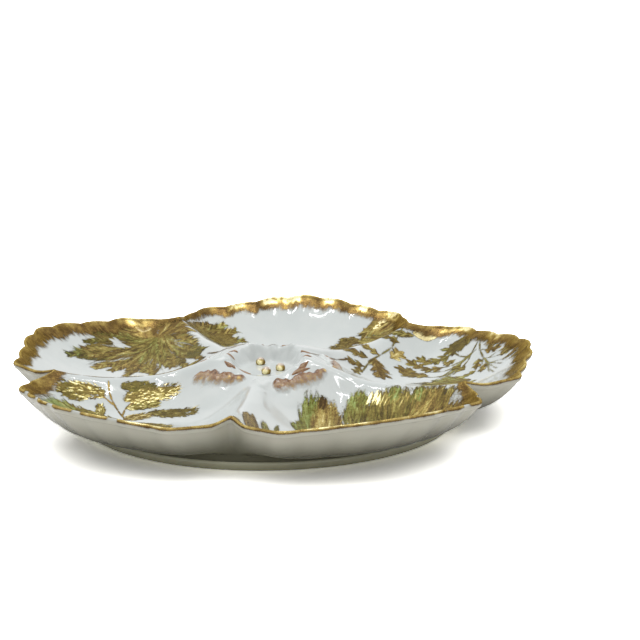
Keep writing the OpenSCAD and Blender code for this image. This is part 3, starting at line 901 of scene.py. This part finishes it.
class Spray(Paint):
    """Brushwork in plan, in millimetres from the plate's middle. Low, high and seed are the grid's two
    corners and the seed of its random touches."""

    def __init__(self, low, high, seed, cell=spray_cell):
        super().__init__(low, high, cell)
        self.draw = np.random.default_rng(seed)

    def vary(self, value, reach):
        return value + self.draw.uniform(-reach, reach)

    def tint(self, green, reach):
        return np.clip(self.vary(green, reach), 0, 1)

    def wash(self, start, end, width, tone, green, load=0.6):
        """A soft pool of colour with a cloudy edge."""
        before = self.cover.copy()
        self.stroke(start, end, width, tone=tone, green=green, load=load, belly=0.5, tip=0.5)
        added = np.clip(self.cover - before, 0, 1)
        ragged = clouds(self.cover.shape, 6, int(self.draw.integers(1000)))
        self.cover = before + added * ease(1.5 * ragged + 0.15)

    def stem(self, points, width, tone, green, load=0.9):
        """A line of thin strokes from point to point."""
        for a, b in zip(points, points[1:]):
            tone_here = self.vary(tone, 0.08)
            self.stroke(a, b, width, tone=tone_here, green=green, load=load, belly=0.5, tip=0.25)

    def along(self, start, end, share, bend=0, out=0, ahead=0):
        """Point beside a line: out to its left, and ahead along it."""
        (x0, y0), (x1, y1) = start, end
        length = math.hypot(x1 - x0, y1 - y0)
        ux, uy = (x1 - x0) / length, (y1 - y0) / length
        out += 4 * bend * length * share * (1 - share)
        far = length * share + ahead
        return x0 + ux * far - uy * out, y0 + uy * far + ux * out

    def frond(self, root, tip, width, bend=0, tone=0.4, green=0.3):
        """A fern frond with barbs that lean towards its tip."""
        length = math.dist(root, tip)
        width = 1.35 * width
        self.wash(root, tip, 0.75 * width, tone, green, 0.5)
        for share in np.arange(0.1, 1, 0.62 / length):
            half = width * (1.02 - share) ** 0.22 * min(1, 0.35 + 2 * share)
            for side in (-1, 1):
                reach = half * self.draw.uniform(0.55, 1.2)
                a = self.along(root, tip, share, bend)
                b = self.along(root, tip, share, bend, side * 0.62 * reach, 0.95 * reach)
                self.stroke(a, b, self.draw.uniform(0.18, 0.36), bend=-0.06 * side,
                            tone=self.vary(tone + 0.06, 0.36), green=self.tint(green, 0.4),
                            load=self.draw.uniform(0.5, 1))
        # a few barbs were scratched out again, and the rib is pale
        for share in self.draw.uniform(0.15, 0.85, int(length / 3)):
            side = self.draw.choice([-1, 1])
            a = self.along(root, tip, share, bend)
            b = self.along(root, tip, share, bend, side * 0.4 * width, 0.8 * width)
            self.stroke(a, b, 0.16, load=-self.draw.uniform(0.3, 0.75), belly=0.5)
        self.stroke(root, tip, 0.2, bend, tone=tone + 0.35, green=green, load=0.6, belly=0.3)

    def catkin(self, root, tip, width, tone=0.45, green=0.1, highlight_share=0.4, side=0):
        """A catkin of fine touches that lean along it. A share of them is a painted highlight in bright
        gold, more of them to the left of its line with side above 0 and to its right with side below 0."""
        length = math.dist(root, tip)
        self.wash(root, tip, 0.9 * width, tone - 0.06, green, 0.75)
        for share in np.arange(0.02, 0.98, 0.07 / length):
            half = width * math.sqrt(max(1 - (2 * share - 1) ** 4, 0.1))
            out = half * self.draw.uniform(-1, 1)
            lit = self.draw.random() < highlight_share * (1 + side * out / width)
            far = self.draw.uniform(1.0, 2.8) if lit else self.draw.uniform(0.6, 1.7)
            a = self.along(root, tip, share, 0, 0.85 * out)
            b = self.along(root, tip, share, 0, 1.05 * out + self.draw.uniform(-0.3, 0.3) * far, far)
            self.stroke(a, b, self.draw.uniform(0.09, 0.16), bend=self.draw.uniform(-0.08, 0.08),
                        tone=1 if lit else self.vary(tone - 0.04, 0.3),
                        green=0 if lit else self.tint(green, 0.3), load=1 if lit else 0.7)

    def leaf(self, root, tip, width, lobes=3, tone=0.42, green=0.15):
        """A lobed leaf of fine touches that fades towards its root, with a paler midrib."""
        self.stroke(root, tip, 0.4 * width, tone=tone, green=green, load=0.75, belly=0.7, tip=0.5)
        for i in range(lobes):
            share = (i + 0.75) / (lobes + 0.7)
            half = width * (1.1 - 0.5 * abs(share - 0.5))
            for side in (-1, 1):
                for _ in range(int(5 + 3 * width)):
                    a = self.along(root, tip, self.vary(share - 0.14, 0.07))
                    b = self.along(root, tip, self.vary(share + 0.02, 0.1), 0,
                                   side * half * self.draw.uniform(0.5, 1.15), 0.35 * width)
                    self.stroke(a, b, self.draw.uniform(0.18, 0.34), bend=self.draw.uniform(-0.1, 0.1),
                                tone=self.vary(tone + 0.02, 0.34), green=self.tint(green, 0.3),
                                load=self.draw.uniform(0.4, 0.9) * (0.45 + 0.55 * share),
                                belly=0.6, tip=0.6)
        for _ in range(int(7 * width)):
            a = self.along(root, tip, self.draw.uniform(0, 0.3), 0, self.vary(0, 0.15) * width)
            b = self.along(root, tip, self.draw.uniform(0.7, 1.05), 0, self.vary(0, 0.25) * width)
            self.stroke(a, b, self.draw.uniform(0.16, 0.3), tone=self.vary(tone, 0.34), green=green,
                        load=self.draw.uniform(0.4, 0.8), belly=0.6)
        self.stroke(root, tip, 0.13, tone=tone + 0.35, green=green, load=0.5, belly=0.3)

    def blades(self, roots, tips, count, width=0.5, tone=0.4, green=0.5, short=0.7, lean=0):
        """Blades of grass from a line of roots to a line of tips, each leaning its own way."""
        steps = 40
        places = [[np.interp(np.linspace(0, 1, steps), np.linspace(0, 1, len(line)), axis)
                   for axis in zip(*line)] for line in (roots, tips)]

        def near(share, axis):
            spot = np.clip(self.vary(share, 0.05), 0, 1)
            return np.interp(spot * (steps - 1), range(steps), axis)

        for share in self.draw.random(count):
            ends = [tuple(near(share, axis) for axis in place) for place in places]
            tilt = self.draw.uniform(-lean, lean)
            a = self.along(*ends, self.draw.uniform(0, 0.45), 0, -0.4 * tilt)
            b = self.along(*ends, self.draw.uniform(short, 1.04), 0, 0.6 * tilt)
            self.stroke(a, b, width * self.draw.uniform(0.6, 1.3), bend=self.draw.uniform(-0.06, 0.06),
                        tone=self.vary(tone, 0.36), green=self.tint(green, 0.35),
                        load=self.draw.uniform(0.5, 1), belly=0.3)

    def show(self, name, material):
        """Keeps the brushwork clear of the lip and lays it on the glaze."""
        x, y = self.x[:, None] * mm, self.y[None] * mm
        edge = outline_r(swing(np.degrees(np.arctan2(y, x)) % 360)) - np.hypot(x, y)
        self.cover *= ease((edge - lip_gap) / lip_fade)
        self.cover = soften(self.cover)
        # light and dark touches are set further apart than they were drawn
        self.tone = 0.32 + 1.3 * (self.tone - 0.42)
        mesh = skin(name, self, on_glaze(spray_lift))
        add_piece(name, mesh, material, "gilding")


spray_paint = gold_material("spray_paint", cover=(0.08, 0.5), metallic=0.4, gloss=0.15)

# the back well: a small fan at its left, and long plumes that run in from its right notch
back = Spray((-60, 20), (60, 101), 201)
for tip, width, green in (
    ((-37, 78), 3, 0.3), ((-31, 80), 4, 0.35), ((-26, 78), 4, 0.3),
    ((-22, 73), 4, 0.45), ((-20, 67), 3.6, 0.4), ((-25, 61), 3, 0.3),
):
    back.frond((-43, 64), tip, width, 0.02, 0.4, green)
back.wash((-36, 70), (-24, 72), 5, 0.4, 0.3, 0.7)
for start, end, width, tone, green in (
    ((53, 67), (15.5, 69.5), 3, 0.42, 0.4), ((52, 71), (19, 74.5), 3, 0.45, 0.35),
    ((50, 76), (27, 80), 3, 0.45, 0.2), ((49, 63), (34, 66), 2.4, 0.4, 0.4),
    ((49, 59), (38, 55), 2, 0.4, 0.4),
):
    back.frond(start, end, width, 0.02, tone, green)
back.frond((44, 90), (26.5, 77.5), 4.6, 0.03, 0.42, 0.35)
back.blades([(46, 88), (42, 84)], [(36, 88), (29, 81), (28, 77), (34, 77)], 130, 0.4, 0.5, 0.15, 0.5)
# bright gold touches near the right notch, as a painted highlight
for i in range(26):
    x, y = 30 + 9 * back.draw.random(), back.draw.uniform(-1.6, 1.6)
    y += 80.5 + 0.75 * (x - 30)
    end = (x + back.draw.uniform(0.8, 2), y + back.draw.uniform(0.2, 1.4))
    back.stroke((x, y), end, 0.5, tone=1, load=0.9)
back.catkin((25, 74.4), (17.2, 75.6), 2.6, 0.42, 0.35, 0.02)
back.catkin((23, 70.8), (14.2, 71.5), 2.8, 0.42, 0.35, 0.02)
back.blades([(52, 70), (49, 60)], [(26, 79), (20, 68)], 70, 0.3, 0.5, 0.3)
for y in (70.5, 73.5, 66):
    back.stroke((50, y - 2), (24, y + 1), 0.35, bend=0.03, load=-0.7, belly=0.5)
back.show("spray_back", spray_paint)

# the left well: a wide fan of fern, green at its heart and browner outside
left = Spray((-101, 5), (-20, 76), 202)
heart = (-54, 57)
left.wash((-48, 52), (-74, 42), 11, 0.42, 0.3, 0.6)
left.wash((-56, 60), (-82, 47), 5, 0.44, 0.1, 0.7)
left.wash((-62, 63), (-43, 60), 4, 0.4, 0.05, 0.8)
for tip in ((-40, 60), (-38, 54), (-44, 66), (-66, 66)):
    left.frond(heart, tip, 3, 0.03, 0.42, 0.1)
for tip, width, tone, green in (
    ((-70, 61), 2.6, 0.5, 0.05), ((-78, 52), 3, 0.38, 0.4), ((-80.5, 46), 2.8, 0.34, 0.6),
    ((-79.5, 40.6), 2.4, 0.34, 0.6), ((-82.5, 28), 4.6, 0.32, 0.7), ((-78.5, 33), 4, 0.36, 0.6),
    ((-72.5, 26.5), 3.6, 0.42, 0.25), ((-66, 28), 4, 0.42, 0.2), ((-59.5, 23), 3.4, 0.36, 0.2),
    ((-54, 30), 4, 0.42, 0.2), ((-49, 25.5), 3.2, 0.4, 0.25), ((-43, 32), 4, 0.42, 0.2),
    ((-37, 29.5), 3.2, 0.34, 0.35), ((-31, 30), 2.6, 0.36, 0.35), ((-31, 36), 3.6, 0.36, 0.6),
    ((-36, 43.5), 3.4, 0.4, 0.25), ((-45, 53), 3, 0.42, 0.1),
):
    left.frond(heart, tip, width, left.draw.uniform(-0.1, 0.1), tone, green)
left.frond((-50.5, 24.4), (-29.5, 29.2), 1.7, 0, 0.36, 0.3)
left.wash((-38, 40), (-32, 33), 3, 0.34, 0.65, 0.9)
for tip in ((-79, 37), (-76, 34), (-68, 33), (-60, 31), (-53, 30), (-45, 34), (-36, 39), (-42, 49)):
    left.frond(heart, tip, 3.6, left.draw.uniform(-0.08, 0.08), left.draw.uniform(0.34, 0.5),
               left.draw.uniform(0.05, 0.4))
for tip in ((-66, 46), (-57, 38), (-48, 42)):
    left.frond(heart, tip, 2.4, left.draw.uniform(-0.1, 0.1), 0.42, 0.7)
rays = [(-79, 44), (-79, 38), (-82, 28.5), (-73, 27), (-60, 25), (-49, 27), (-37, 30), (-31, 34),
        (-36, 44), (-42, 56)]
left.blades([(-55, 58), (-52, 57)], rays, 200, 0.2, 0.46, 0.4, 0.4, 5)
left.blades([(-58, 62), (-50, 62)], [(-80, 52), (-72, 60), (-60, 66), (-42, 64)],
            160, 0.26, 0.46, 0.15, 0.4)
# thin lines between the fronds are scratched out again down to the glaze
for share in left.draw.random(120):
    x, y = (float(np.interp(share * (len(rays) - 1), range(len(rays)), axis)) for axis in zip(*rays))
    a, b = (left.along(heart, (x, y), left.draw.uniform(*reach)) for reach in ((0.2, 0.5), (0.6, 0.95)))
    left.stroke(a, b, left.draw.uniform(0.1, 0.2), bend=left.draw.uniform(-0.2, 0.2),
                load=-left.draw.uniform(0.4, 0.9), belly=0.5)
for tip in (
    (-80, 36), (-76, 31), (-68, 36), (-60, 30), (-54, 34), (-45, 36), (-38, 33), (-38, 40), (-74, 47),
):
    left.stroke(left.along(heart, tip, 0.25), tip, 0.26, bend=left.draw.uniform(-0.12, 0.12),
                load=-0.7, belly=0.6)
# a bare patch in the upper left of the fan
for start, end, width in (
    ((-72, 49), (-63, 49.6), 1.3), ((-70, 47.4), (-65, 47.8), 1.0), ((-71, 51), (-68, 51), 0.7),
):
    left.stroke(start, end, width, load=-0.95, belly=0.45, tip=0.6)
# a small cream patch, as a painted highlight
left.wash((-64, 62), (-57, 62), 1.8, 0.95, 0, 0.9)
left.show("spray_left", spray_paint)

# the front left well: catkins on a forked stem
catkins = Spray((-86, -70), (-14, -12), 203, 0.2)
stalk = [(-56, -20.5), (-54.8, -25), (-53, -28.5), (-50, -32.8), (-46.5, -38), (-44, -48), (-43, -62)]
catkins.stem(stalk, 0.3, 0.5, 0.1)
catkins.stem([(-60, -26.5), (-55, -28.5), (-52, -30.5)], 0.3, 0.5, 0)
catkins.stem([(-47.5, -37), (-47.6, -32), (-45.5, -27)], 0.3, 0.5, 0)
# each catkin's root, tip, width, tone, green, share of painted highlight touches and the side they keep
# to
for row in (
    ((-61, -29), (-73, -30.5), 4.2, 0.44, 0.5, 0.06),
    ((-55.5, -26.5), (-68, -28.5), 3.4, 0.44, 0.4, 0.3),
    ((-51.5, -21.8), (-38.5, -18.8), 2.7, 0.36, 0.6, 0.04),
    ((-49.5, -27), (-30, -18), 3.6, 0.44, 0.4, 0.36, -0.6),
    ((-47.5, -31), (-36, -25.5), 2.2, 0.42, 0.5, 0.2),
    ((-39, -31.5), (-20.6, -32), 3.4, 0.42, 0.5, 0.03), ((-49, -41), (-68, -38), 3.4, 0.48, 0.5, 0.05),
    ((-46.5, -39), (-37.5, -33), 2.8, 0.42, 0.2, 0.25), ((-55, -39), (-56.5, -32), 1.9, 0.5, 0.4, 0.1),
    ((-43, -43), (-28, -44), 2.6, 0.48, 0.45, 0.05),
):
    catkins.catkin(*row)
catkins.blades([(-64, -46), (-62, -40)], [(-77, -43), (-76, -37), (-70, -34)], 90, 0.3, 0.55, 0.8)
catkins.leaf((-45, -60), (-33, -66), 4, 3, 0.4, 0.3)
catkins.leaf((-44, -56), (-54, -62), 4, 3, 0.4, 0.3)
catkins.stem([(-78, -25.4), (-66, -21.5), (-54, -17.6), (-44, -14.4)], 0.2, 0.4, 0.05, 0.8)
catkins.show("spray_front_left", spray_paint)

# the front right well: tufts of grass, a brown plume and a worn patch near the tip
grass = Spray((-2, -90), (92, -9), 204)
grass.blades([(22, -52), (26, -54)], [(15.8, -29), (17, -24), (18.4, -21.2), (20.2, -20), (23, -21.5)],
             260, 0.2, 0.5, 0.85, 0.45, 1.6)
grass.blades([(18, -50), (24, -52)], [(15, -42), (17.4, -37), (19.6, -34)],
             90, 0.22, 0.46, 0.85, 0.5, 1.5)
plume = [(21.6, -34), (22, -28), (22.8, -24.2), (23.8, -21.8), (26.5, -22.2), (29.3, -25), (32.5, -31),
         (35.5, -38)]
grass.blades([(24, -50), (34, -54)], plume, 620, 0.22, 0.4, 0.06, 0.4, 2.4)
grass.blades([(25, -50), (30, -52)], plume[1:5], 90, 0.18, 0.66, 0, 0.5, 2)
grass.blades([(23.4, -28), (25, -28)], [(23.2, -21), (25, -21)], 26, 0.2, 0.1, 0, 0.5, 0.8)
tuft = [(31.6, -25.5), (32.8, -21.2), (34.4, -18.8), (36.4, -16.8), (39, -17)]
grass.blades([(35, -46), (39, -50)], tuft, 300, 0.2, 0.5, 0.8, 0.4, 2.2)
grass.wash((40, -28), (78, -37), 9, 0.36, 0.45, 0.9)
for roots, tips, count, tone, green in (
    ([(37, -50), (52, -52)], [(34.5, -27), (38, -20), (44, -18.5), (52, -18)], 560, 0.38, 0.55),
    ([(48, -56), (58, -54)], [(43, -21), (50, -18), (57, -19), (66, -21)], 800, 0.36, 0.5),
    ([(52, -54), (68, -50)], [(60, -20), (66, -21), (72, -24), (77, -27)], 800, 0.35, 0.4),
    ([(56, -50), (76, -46)], [(64, -24), (73, -25.5), (79, -29)], 340, 0.4, 0.15),
    ([(50, -44), (54, -46)], [(62, -20), (70, -22.5)], 70, 0.62, 0.1),
):
    grass.blades(roots, tips, count, 0.19, tone, green, 0.4, 4.5)
for x, y in ((49.5, -16.4), (58.5, -18.2), (37, -16.4)):
    grass.blades([(x - 2, y - 9), (x + 2, y - 9)], [(x - 2.6, y - 0.5), (x, y), (x + 2.4, y - 0.8)],
                 34, 0.2, 0.5, 1, 0.5, 2.5)
# painted highlights in bright gold along the tips of the grass
for share in np.arange(0, 1, 0.03):
    x = 41 + 24 * share + grass.draw.uniform(-0.6, 0.6)
    lit = share < 0.25 or grass.draw.random() < 0.12
    reach = grass.draw.uniform(2.5, 5) * (1 if lit else 0.6)
    y = -18.5 - 3 * share - grass.draw.uniform(0.5, 4)
    grass.stroke((x - grass.draw.uniform(-0.5, 1.8), y - reach), (x, y), 0.2, tone=1 if lit else 0.62,
                 load=0.8, belly=0.5)
# three short painted highlights in bright gold
for start, end in (((40, -24), (41.5, -18.5)), ((42, -23), (43.6, -18.2)), ((43.6, -25), (44.5, -20))):
    grass.stroke(start, end, 0.6, tone=1.05, load=0.95, belly=0.6)
# the paint is wiped off between the plume and the grass
for start, end in (((35, -42), (31.5, -30)), ((36.5, -44), (33.4, -31))):
    grass.stroke(start, end, 0.4, load=-0.9, belly=0.6)
# small tufts at the well's inner side
grass.blades([(5.5, -78), (8.5, -75)], [(0.8, -60), (2, -56.8), (4.4, -56)],
             240, 0.24, 0.36, 0.04, 0.45, 1)
grass.blades([(10, -70), (12, -70)], [(6.4, -56), (8, -55)], 40, 0.2, 0.45, 0.7, 0.5, 1)
grass.blades([(12.2, -62), (13, -62)], [(11.6, -51), (12.2, -51)], 12, 0.2, 0.5, 0.8, 0.6, 0.6)
# the worn patch
for start, end in (
    ((71.6, -33.5), (75, -27)), ((73.6, -34), (76.6, -28.2)), ((70, -32.5), (73.2, -26.6)),
):
    grass.stroke(start, end, 1.2, load=-0.8, belly=0.5, tip=0.5)
grass.show("spray_front_right", spray_paint)

# the right well: two stems with oak leaves, and thin twigs towards the tip
oak = Spray((19, -24), (101, 76), 205)
oak.stem([(45, 63), (43.2, 55.8), (41.5, 48), (38, 41), (34.5, 34), (32.2, 24)], 0.24, 0.5, 0.5, 0.8)
oak.stem([(41.5, 48), (44, 44)], 0.25, 0.42, 0.4)
# each leaf's root, tip, width, lobes, tone and green
for row in (
    ((41.5, 41.5), (46, 48.5), 2.8, 2, 0.6, 0.05), ((36, 37), (41, 24.5), 3.6, 3, 0.38, 0.1),
    ((33.5, 35), (23, 34), 2.2, 3, 0.38, 0.3), ((33, 29), (25.5, 27), 2, 2, 0.36, 0.25),
    ((37.5, 40), (29.5, 42), 2, 2, 0.4, 0.25), ((31.5, 27), (30, 20), 1.8, 2, 0.38, 0.3),
    ((44, 52), (36, 53), 1.9, 2, 0.42, 0.35),
):
    oak.leaf(*row)
oak.wash((48.5, 60), (58, 62), 2.4, 0.85, 0, 0.95)
trunk = [(75.2, 56.5), (74.8, 51.2), (73, 45.8), (70.5, 42.5), (67.2, 39.2), (64, 32.5), (60.5, 25.2),
         (57.2, 22.5)]
oak.stem(trunk, 0.26, 0.48, 0.5, 0.8)
# thinner stems run beside it, and twigs leave it
for shift in (1.4, -1.3, 2.6, -2.4):
    beside = trunk[1 + abs(int(shift)):]
    line = [(x + shift * oak.draw.uniform(0.7, 1.3), y + 0.6 * shift) for x, y in beside]
    oak.stem(line, 0.2, 0.55, 0.55, 0.7)
for start, end in (
    ((70, 42.5), (60, 41.5)), ((67.5, 39.5), (57, 38)), ((64.5, 34), (54, 33)), ((71.5, 43.5), (66, 50)),
    ((72.5, 45), (70, 38)), ((69, 41), (66.5, 33)), ((61, 27), (68, 27)), ((63, 31), (70, 30)),
):
    oak.stem([start, oak.along(start, end, 0.5, 0.1), end], 0.24, 0.5, 0.5, 0.75)
oak.leaf((72, 57.5), (61.5, 51.5), 4.4, 3, 0.36, 0.5)
oak.wash((71, 57), (63, 52.5), 4, 0.34, 0.5, 0.8)
# leaves between the two stems
for row in (
    ((57.5, 45.3), (51, 48.6), 2.6, 2, 0.42, 0.35), ((64, 50), (56.2, 46.2), 3.0, 2, 0.4, 0.5),
    ((54.8, 41), (47.6, 45), 2.8, 2, 0.42, 0.25), ((62, 41.3), (53.5, 39.5), 2.7, 2, 0.4, 0.3),
    ((57, 34), (45.5, 34.6), 3.0, 3, 0.4, 0.25), ((52, 37.8), (43.5, 37.2), 2.4, 2, 0.42, 0.25),
    ((66.5, 45), (62, 43), 2.0, 2, 0.4, 0.3), ((71, 35), (66, 40), 2.0, 2, 0.42, 0.4),
):
    oak.leaf(*row)
for start, end, width, tone, green in (
    ((76, 39.5), (75.2, 32.5), 1.7, 0.4, 0.3), ((78.6, 34), (77.5, 28.5), 1.5, 0.4, 0.3),
    ((75.5, 31.5), (70.3, 29.5), 1.5, 0.44, 0.4), ((78, 43.2), (84.5, 40.3), 2.0, 0.4, 0.15),
    ((84.5, 36.4), (89, 34.2), 1.9, 0.42, 0.35), ((80.5, 50), (82.5, 43.5), 3, 0.42, 0.35),
):
    oak.leaf(start, end, width, 2, tone, green)
oak.stem([(75.5, 56), (75.6, 51), (76, 44.8), (77.8, 39), (80.2, 33.2)], 0.24, 0.5, 0.5, 0.8)
for line in (
    [(76, 44.8), (78, 43.6)], [(80.2, 33.2), (82, 29), (84, 24.8)], [(80, 34), (83, 30.5), (85.8, 27.2)],
    [(77.8, 39), (77.6, 34), (77.3, 30)], [(78.4, 38), (82, 36), (86, 34.6)],
    [(80.6, 33), (84, 31.5), (88, 30)], [(78.6, 36), (80, 30), (81, 25)],
    [(79.5, 35), (80.8, 28.5), (83, 22)], [(86.8, 37.5), (83, 38.4), (80, 37)],
):
    oak.stem(line, 0.16, 0.55, 0.5, 0.7)
oak.wash((66, 25.6), (74, 24.6), 2.4, 0.36, 0.1, 0.85)
oak.wash((58, 23.5), (68, 22.5), 2.2, 0.42, 0.5, 0.6)
oak.frond((58, 25), (73, 30), 1.6, 0.05, 0.5, 0.5)
oak.frond((62, 23), (76, 22), 1.4, 0.03, 0.48, 0.5)
oak.blades([(50, 24), (66, 34)], [(66, 20), (74, 24)], 60, 0.26, 0.5, 0.6)
oak.blades([(88, 42), (97, 24), (95, 12)], [(82, 38), (88, 22), (88, 13)], 60, 0.4, 0.5, 0.15, 0.5)
oak.show("spray_right", spray_paint)

# a thin brown line follows the crest round the hollow
middle = Spray((-33, -14), (33, 34), 206)
crest = [(-29, 31.5), (-23.2, 26), (-18.2, 21.8), (-14, 15.5), (-10.5, 12)]
middle.stem(crest, 0.28, 0.2, 0, 0.75)
middle.stem([(-3.5, 12.6), (2.2, 12.8), (7.5, 11)], 0.2, 0.2, 0, 0.5)
middle.stem([(14.5, 9), (17, 13.2), (18.5, 16), (23, 22), (27, 28)], 0.28, 0.2, 0, 0.75)
middle.show("crest_lines", spray_paint)

# The camera stands where the photograph was taken from: 0.86 m away, 13 degrees above the table, and
# turned a little round the plate.
lens_mm, sensor_mm = 129.1, 36
camera = add_object("camera", bpy.data.cameras.new("camera"))
camera.data.lens, camera.data.sensor_width = lens_mm, sensor_mm
camera.location = (0.1332, -0.8182, 0.2328)
# turned round the plate, tipped up from looking straight down, and rolled
camera_turns = [(7.89, "Z"), (76.72, "X"), (-0.4, "Z")]
turns = [Matrix.Rotation(math.radians(angle), 3, axis) for angle, axis in camera_turns]
camera.rotation_euler = (turns[0] @ turns[1] @ turns[2]).to_euler()
bpy.context.scene.camera = camera

# The floor is a plain pale table. The camera sees it white where it is lit, and it keeps the plate's
# shadow close round the foot.
floor_form = bmesh.new()
bmesh.ops.create_grid(floor_form, x_segments=1, y_segments=1, size=4)
floor_mesh = form_mesh(floor_form, "floor")
floor_material, floor_shader, node, wire = new_material("pale_table")
floor_shader.inputs["Roughness"].default_value = 0.9
floor_shader.inputs["Specular IOR Level"].default_value = 0
floor_lit, floor_seen = 0.84, 2.9
path = node("ShaderNodeLightPath").outputs
wire(remap(node, path["Is Camera Ray"], after=(floor_lit, floor_seen)), "Base Color")
floor_mesh.materials.append(floor_material)
floor = add_object("floor", floor_mesh)

# Plain soft studio light: a pale room all round, and narrow strip lamps overhead whose reflections
# lie in the glaze.
world = bpy.data.worlds.new("room")
world.use_nodes = True
bpy.context.scene.world = world
background = world.node_tree.nodes["Background"]
background.inputs["Color"].default_value = (1, 1, 1, 1)
room_light, room_seen = 0.48, 1.0
node = node_maker(world.node_tree)
path = node("ShaderNodeLightPath").outputs
seen = combine(node, "MAXIMUM", path["Is Camera Ray"], path["Is Glossy Ray"])
level = remap(node, seen, after=(room_light, room_seen))
world.node_tree.links.new(level, background.inputs["Strength"])
# a broad soft lamp overhead, not seen in the glaze
soft = bpy.data.lights.new("soft_box", "AREA")
soft.shape, soft.size, soft.energy = "SQUARE", 4.4, 70
soft_holder = add_object("soft_box", soft)
soft_holder.location = (-0.2, 0.5, 2.5)
soft_holder.visible_glossy = False
# the strip lamps: the places of their two ends, as shares of the height they hang at
lamp_h, strip_width, strip_light = 0.55, 0.0045, 60
strips = [((-0.28, 0.10), (-0.34, 0.36)), ((-0.02, 0.10), (0.04, 0.32)), ((-0.14, 0.08), (-0.14, 0.26)),
          ((-0.38, 0.30), (-0.22, 0.30)), ((-0.03, -0.22), (-0.03, 0.0)), ((-0.12, 0.10), (0.07, 0.16))]
for i, (start, end) in enumerate(strips):
    start, end = (np.array(p) * lamp_h for p in (start, end))
    lamp = bpy.data.lights.new(f"strip_{i}", "AREA")
    lamp.shape = "RECTANGLE"
    lamp.size, lamp.size_y = float(np.hypot(*(end - start))), strip_width
    lamp.energy = strip_light * math.pi * lamp.size * lamp.size_y
    holder = add_object(f"strip_{i}", lamp)
    holder.location = (*(start + end) / 2, lamp_h)
    holder.rotation_euler = (0, 0, math.atan2(*(end - start)[::-1]))

bpy.context.scene.view_settings.view_transform = "Standard"
